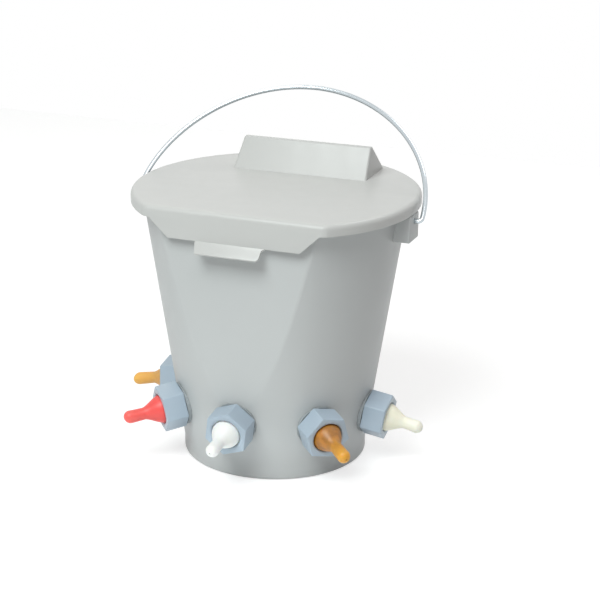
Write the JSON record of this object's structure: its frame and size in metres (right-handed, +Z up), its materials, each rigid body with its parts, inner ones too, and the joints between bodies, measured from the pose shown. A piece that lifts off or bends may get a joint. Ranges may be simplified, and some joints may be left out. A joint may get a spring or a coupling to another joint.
{
  "type": "teat feeding bucket",
  "caption": "Tapered plastic bucket with one flat side, push-on lid with grip ridge, wire bail and rubber teats held by hexagon nuts round its foot, for feeding young stock.",
  "frame": {"origin": "middle of the bucket's flat underside", "axes": "+Z up along the bucket's axis; the flat side and the middle teat face -Y; the bail's ears are at -X and +X"},
  "size_m": [0.3395, 0.321, 0.3721],
  "materials": {
    "bucket_plastic": "satin grey moulded plastic",
    "lid_plastic": "satin light grey moulded plastic",
    "zinc_wire": "bright plated wire",
    "nut_plastic": "satin blue-grey plastic",
    "valve_plastic": "satin grey plastic",
    "ball_plastic": "smooth white plastic",
    "seal_rubber": "black rubber",
    "teat_amber": "translucent amber rubber",
    "teat_red": "matt red rubber",
    "teat_white": "white rubber",
    "teat_cream": "cream rubber"
  },
  "bodies": {
    "bucket": {"bucket": "bucket_plastic", "valve_body_1": "valve_plastic", "ball_cage_1": "valve_plastic", "wall_seal_1": "seal_rubber", "inner_gasket_1": "seal_rubber", "valve_body_2": "valve_plastic", "ball_cage_2": "valve_plastic", "wall_seal_2": "seal_rubber", "inner_gasket_2": "seal_rubber", "valve_body_3": "valve_plastic", "ball_cage_3": "valve_plastic", "wall_seal_3": "seal_rubber", "inner_gasket_3": "seal_rubber", "valve_body_4": "valve_plastic", "ball_cage_4": "valve_plastic", "wall_seal_4": "seal_rubber", "inner_gasket_4": "seal_rubber", "valve_body_5": "valve_plastic", "ball_cage_5": "valve_plastic", "wall_seal_5": "seal_rubber", "inner_gasket_5": "seal_rubber"},
    "lid": {"lid": "lid_plastic"},
    "bail": {"bail": "zinc_wire"},
    "teat_1": {"teat_1": "teat_amber"},
    "nut_1": {"union_nut_1": "nut_plastic"},
    "ball_1": {"valve_ball_1": "ball_plastic"},
    "teat_2": {"teat_2": "teat_red"},
    "nut_2": {"union_nut_2": "nut_plastic"},
    "ball_2": {"valve_ball_2": "ball_plastic"},
    "teat_3": {"teat_3": "teat_white"},
    "nut_3": {"union_nut_3": "nut_plastic"},
    "ball_3": {"valve_ball_3": "ball_plastic"},
    "teat_4": {"teat_4": "teat_amber"},
    "nut_4": {"union_nut_4": "nut_plastic"},
    "ball_4": {"valve_ball_4": "ball_plastic"},
    "teat_5": {"teat_5": "teat_cream"},
    "nut_5": {"union_nut_5": "nut_plastic"},
    "ball_5": {"valve_ball_5": "ball_plastic"}
  },
  "joints": [
    {"name": "lid_lift", "type": "slide", "parent": "bucket", "child": "lid", "axis": [0, 0, 1], "range_m": [0, 0.0095]},
    {"name": "bail_swing", "type": "hinge", "parent": "bucket", "child": "bail", "pos_m": [0, 0, 0.2675], "axis": [-1, 0, 0], "range_deg": [-106, 15]},
    {"name": "nut_unscrew_1", "type": "hinge", "parent": "teat_1", "child": "nut_1", "pos_m": [-0.10352, 0.00543, 0.059], "axis": [-0.987, 0.0517, -0.1518], "range_deg": [0, 1440]},
    {"name": "teat_draw_1", "type": "slide", "parent": "bucket", "child": "teat_1", "axis": [-0.987, 0.0517, -0.1518], "range_m": [0, 0.0161]},
    {"name": "ball_travel_1", "type": "slide", "parent": "bucket", "child": "ball_1", "axis": [-0.987, 0.0517, -0.1518], "range_m": [-0.004, 0]},
    {"name": "nut_unscrew_2", "type": "hinge", "parent": "teat_2", "child": "nut_2", "pos_m": [-0.07615, -0.07101, 0.062], "axis": [-0.7229, -0.6741, -0.1518], "range_deg": [0, 1440]},
    {"name": "teat_draw_2", "type": "slide", "parent": "bucket", "child": "teat_2", "axis": [-0.7229, -0.6741, -0.1518], "range_m": [0, 0.0161]},
    {"name": "ball_travel_2", "type": "slide", "parent": "bucket", "child": "ball_2", "axis": [-0.7229, -0.6741, -0.1518], "range_m": [-0.004, 0]},
    {"name": "nut_unscrew_3", "type": "hinge", "parent": "teat_3", "child": "nut_3", "pos_m": [-0.00182, -0.10442, 0.064], "axis": [-0.0173, -0.9883, -0.1518], "range_deg": [0, 1440]},
    {"name": "teat_draw_3", "type": "slide", "parent": "bucket", "child": "teat_3", "axis": [-0.0173, -0.9883, -0.1518], "range_m": [0, 0.0161]},
    {"name": "ball_travel_3", "type": "slide", "parent": "bucket", "child": "ball_3", "axis": [-0.0173, -0.9883, -0.1518], "range_m": [-0.004, 0]},
    {"name": "nut_unscrew_4", "type": "hinge", "parent": "teat_4", "child": "nut_4", "pos_m": [0.07531, -0.07146, 0.06], "axis": [0.717, -0.6804, -0.1518], "range_deg": [0, 1440]},
    {"name": "teat_draw_4", "type": "slide", "parent": "bucket", "child": "teat_4", "axis": [0.717, -0.6804, -0.1518], "range_m": [0, 0.0161]},
    {"name": "ball_travel_4", "type": "slide", "parent": "bucket", "child": "ball_4", "axis": [0.717, -0.6804, -0.1518], "range_m": [-0.004, 0]},
    {"name": "nut_unscrew_5", "type": "hinge", "parent": "teat_5", "child": "nut_5", "pos_m": [0.10289, 0.0009, 0.054], "axis": [0.9884, 0.0086, -0.1518], "range_deg": [0, 1440]},
    {"name": "teat_draw_5", "type": "slide", "parent": "bucket", "child": "teat_5", "axis": [0.9884, 0.0086, -0.1518], "range_m": [0, 0.0161]},
    {"name": "ball_travel_5", "type": "slide", "parent": "bucket", "child": "ball_5", "axis": [0.9884, 0.0086, -0.1518], "range_m": [-0.004, 0]}
  ],
  "couplings": [
    {"joint": "teat_draw_1", "follows": "nut_unscrew_1", "m_per_rad": 0.00063662},
    {"joint": "teat_draw_2", "follows": "nut_unscrew_2", "m_per_rad": 0.00063662},
    {"joint": "teat_draw_3", "follows": "nut_unscrew_3", "m_per_rad": 0.00063662},
    {"joint": "teat_draw_4", "follows": "nut_unscrew_4", "m_per_rad": 0.00063662},
    {"joint": "teat_draw_5", "follows": "nut_unscrew_5", "m_per_rad": 0.00063662}
  ]
}
